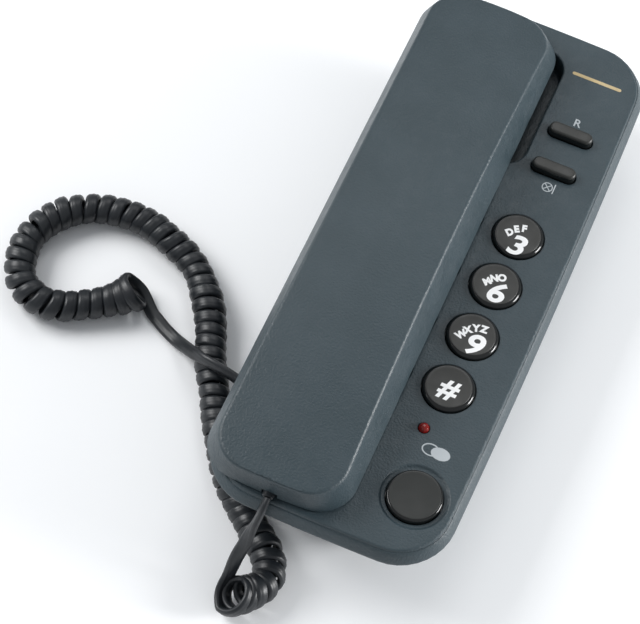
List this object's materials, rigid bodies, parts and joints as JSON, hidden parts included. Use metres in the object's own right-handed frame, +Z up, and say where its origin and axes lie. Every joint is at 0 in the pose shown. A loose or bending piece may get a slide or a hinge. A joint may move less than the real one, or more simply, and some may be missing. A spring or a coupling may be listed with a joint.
{
  "type": "corded telephone with base",
  "caption": "Slim corded desk telephone: a long handset lying along one side of a flared base with round keys, oblong buttons, a large round button and a curly cord.",
  "frame": {"origin": "centre of the base's footprint on the table, without the cord", "axes": "+Z up; +Y along the base from the mouthpiece end to the earpiece end; +X to the side where the visible key column is"},
  "size_m": [0.1845, 0.2447, 0.0549],
  "materials": {
    "housing": "fine moulded texture, satin",
    "key_cap": "gloss shoulder, satin face",
    "button_cap": "satin",
    "red_lens": "clear red",
    "black_plastic": "matt",
    "clear_plastic": "clear",
    "cord": "satin",
    "rubber": "matt",
    "silicone": "matt",
    "circuit_board": "satin",
    "steel": "plated"
  },
  "bodies": {
    "base": {"base_upper_housing": "housing", "base_lower_housing": "housing", "rubber_feet": "rubber", "housing_screws": "steel", "main_circuit_board": "circuit_board", "keypad_membrane": "silicone", "ring_indicator_led": "red_lens", "ringer_sounder": "black_plastic", "ringer_switch": "steel", "hook_spring": "steel", "hook_switch": "black_plastic", "line_jack": "black_plastic", "cord_jack_base": "black_plastic", "base_plug": "clear_plastic", "curly_cord_coil": "cord", "cord_lead_handset": "cord", "cord_lead_base": "cord"},
    "handset": {"handset_upper_shell": "housing", "handset_lower_shell": "housing", "receiver_capsule": "black_plastic", "receiver_gasket": "silicone", "microphone_capsule": "steel", "handset_weight": "steel", "handset_screws": "steel", "handset_jack": "black_plastic", "handset_plug": "clear_plastic"},
    "hook": {"hook_plunger": "black_plastic"},
    "ringer_slider": {"ringer_switch_knob": "black_plastic"},
    "key_1": {"key_1": "key_cap"},
    "key_2": {"key_2": "key_cap"},
    "key_3": {"key_3": "key_cap"},
    "key_4": {"key_4": "key_cap"},
    "key_5": {"key_5": "key_cap"},
    "key_6": {"key_6": "key_cap"},
    "key_7": {"key_7": "key_cap"},
    "key_8": {"key_8": "key_cap"},
    "key_9": {"key_9": "key_cap"},
    "key_star": {"key_star": "key_cap"},
    "key_0": {"key_0": "key_cap"},
    "key_hash": {"key_hash": "key_cap"},
    "recall_key": {"recall_key": "button_cap"},
    "mute_key": {"mute_key": "button_cap"},
    "redial_key": {"redial_key": "button_cap"}
  },
  "joints": [
    {"name": "handset_lift", "type": "slide", "parent": "base", "child": "handset", "axis": [0, 0, 1], "range_m": [0, 0.06]},
    {"name": "hook_rise", "type": "slide", "parent": "base", "child": "hook", "axis": [0, 0, 1], "range_m": [0, 0.004], "deforming": ["hook_spring"]},
    {"name": "ringer_slide", "type": "slide", "parent": "base", "child": "ringer_slider", "axis": [0, 1, 0], "range_m": [0, 0.004]},
    {"name": "key_1_press", "type": "slide", "parent": "base", "child": "key_1", "axis": [0, 0, -1], "range_m": [0, 0.0012], "stiffness_N_per_m": 700, "springref_m": -0.0006},
    {"name": "key_2_press", "type": "slide", "parent": "base", "child": "key_2", "axis": [0, 0, -1], "range_m": [0, 0.0012], "stiffness_N_per_m": 700, "springref_m": -0.0006},
    {"name": "key_3_press", "type": "slide", "parent": "base", "child": "key_3", "axis": [0, 0, -1], "range_m": [0, 0.0012], "stiffness_N_per_m": 700, "springref_m": -0.0006},
    {"name": "key_4_press", "type": "slide", "parent": "base", "child": "key_4", "axis": [0, 0, -1], "range_m": [0, 0.0012], "stiffness_N_per_m": 700, "springref_m": -0.0006},
    {"name": "key_5_press", "type": "slide", "parent": "base", "child": "key_5", "axis": [0, 0, -1], "range_m": [0, 0.0012], "stiffness_N_per_m": 700, "springref_m": -0.0006},
    {"name": "key_6_press", "type": "slide", "parent": "base", "child": "key_6", "axis": [0, 0, -1], "range_m": [0, 0.0012], "stiffness_N_per_m": 700, "springref_m": -0.0006},
    {"name": "key_7_press", "type": "slide", "parent": "base", "child": "key_7", "axis": [0, 0, -1], "range_m": [0, 0.0012], "stiffness_N_per_m": 700, "springref_m": -0.0006},
    {"name": "key_8_press", "type": "slide", "parent": "base", "child": "key_8", "axis": [0, 0, -1], "range_m": [0, 0.0012], "stiffness_N_per_m": 700, "springref_m": -0.0006},
    {"name": "key_9_press", "type": "slide", "parent": "base", "child": "key_9", "axis": [0, 0, -1], "range_m": [0, 0.0012], "stiffness_N_per_m": 700, "springref_m": -0.0006},
    {"name": "key_star_press", "type": "slide", "parent": "base", "child": "key_star", "axis": [0, 0, -1], "range_m": [0, 0.0012], "stiffness_N_per_m": 700, "springref_m": -0.0006},
    {"name": "key_0_press", "type": "slide", "parent": "base", "child": "key_0", "axis": [0, 0, -1], "range_m": [0, 0.0012], "stiffness_N_per_m": 700, "springref_m": -0.0006},
    {"name": "key_hash_press", "type": "slide", "parent": "base", "child": "key_hash", "axis": [0, 0, -1], "range_m": [0, 0.0012], "stiffness_N_per_m": 700, "springref_m": -0.0006},
    {"name": "recall_key_press", "type": "slide", "parent": "base", "child": "recall_key", "axis": [0, 0, -1], "range_m": [0, 0.0012], "stiffness_N_per_m": 700, "springref_m": -0.0006},
    {"name": "mute_key_press", "type": "slide", "parent": "base", "child": "mute_key", "axis": [0, 0, -1], "range_m": [0, 0.0012], "stiffness_N_per_m": 700, "springref_m": -0.0006},
    {"name": "redial_key_press", "type": "slide", "parent": "base", "child": "redial_key", "axis": [0, 0, -1], "range_m": [0, 0.0012], "stiffness_N_per_m": 700, "springref_m": -0.0006}
  ],
  "couplings": [
    {"joint": "hook_rise", "follows": "handset_lift", "ratio": 0.0666}
  ]
}
